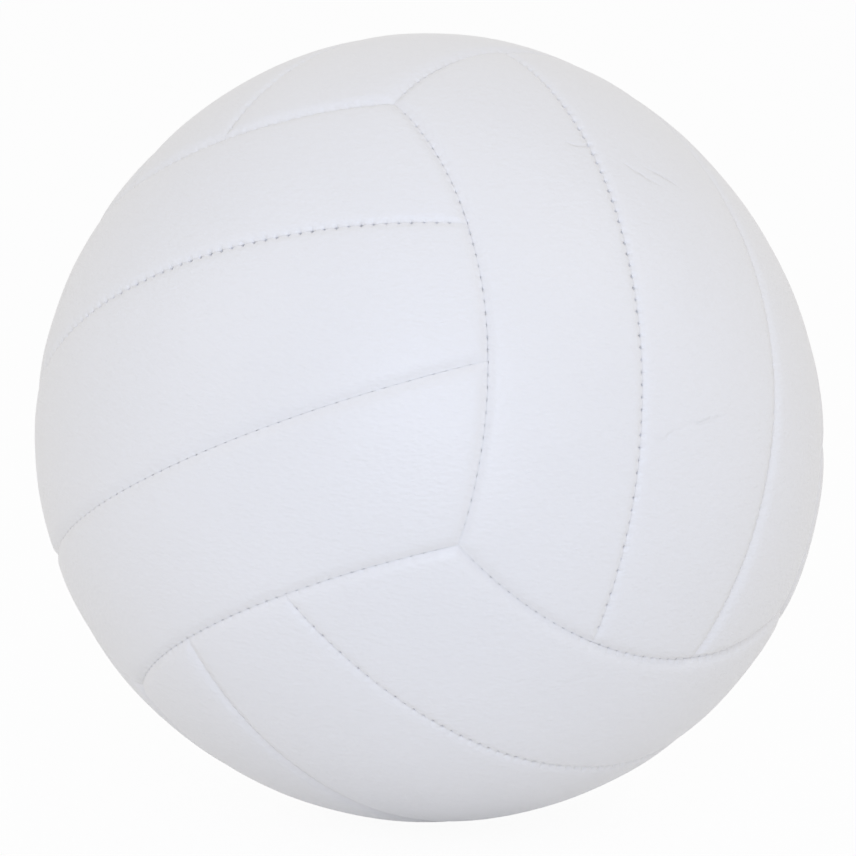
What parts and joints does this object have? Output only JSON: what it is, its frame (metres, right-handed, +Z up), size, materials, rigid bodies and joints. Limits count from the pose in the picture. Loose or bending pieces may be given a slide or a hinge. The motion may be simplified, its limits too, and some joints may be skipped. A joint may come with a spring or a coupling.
{
  "type": "volleyball",
  "caption": "White stitched volleyball: foam-backed strip panels sewn round a rubber bladder, with a pull-out needle valve core.",
  "frame": {"origin": "centre of the ball", "axes": "+Z up as the ball lies, -Y towards the viewer, with the valve turned up and away from the viewer"},
  "size_m": [0.21, 0.21, 0.21],
  "materials": {
    "cover": "fine-grained white synthetic leather",
    "foam": "open-cell foam sheet",
    "thread": "waxed polyester thread",
    "bladder": "matt butyl rubber",
    "valve_rubber": "moulded pale rubber",
    "valve_core": "moulded dark rubber",
    "patch": "rubberised cloth"
  },
  "bodies": {
    "ball": {"front_left_panel_1": "cover", "front_left_foam_1": "foam", "front_left_panel_2": "cover", "front_left_foam_2": "foam", "front_left_panel_3": "cover", "front_left_foam_3": "foam", "front_left_strip_thread": "thread", "front_left_end_thread": "thread", "front_right_panel_1": "cover", "front_right_foam_1": "foam", "front_right_panel_2": "cover", "front_right_foam_2": "foam", "front_right_panel_3": "cover", "front_right_foam_3": "foam", "front_right_strip_thread": "thread", "front_right_end_thread": "thread", "top_panel_1": "cover", "top_foam_1": "foam", "top_panel_2": "cover", "top_foam_2": "foam", "top_panel_3": "cover", "top_foam_3": "foam", "top_strip_thread": "thread", "top_end_thread": "thread", "back_right_panel_1": "cover", "back_right_foam_1": "foam", "back_right_panel_2": "cover", "back_right_foam_2": "foam", "back_right_panel_3": "cover", "back_right_foam_3": "foam", "back_right_strip_thread": "thread", "back_right_end_thread": "thread", "back_left_panel_1": "cover", "back_left_foam_1": "foam", "back_left_panel_2": "cover", "back_left_foam_2": "foam", "back_left_panel_3": "cover", "back_left_foam_3": "foam", "back_left_strip_thread": "thread", "back_left_end_thread": "thread", "bottom_panel_1": "cover", "bottom_foam_1": "foam", "bottom_panel_2": "cover", "bottom_foam_2": "foam", "bottom_panel_3": "cover", "bottom_foam_3": "foam", "bottom_strip_thread": "thread", "bottom_end_thread": "thread", "bladder": "bladder", "valve_boot": "valve_rubber", "valve_patch": "patch"},
    "core": {"valve_core": "valve_core"}
  },
  "joints": [
    {"name": "core_pull", "type": "slide", "parent": "ball", "child": "core", "axis": [-0.1357, 0.4559, 0.8796], "range_m": [0, 0.025]}
  ]
}
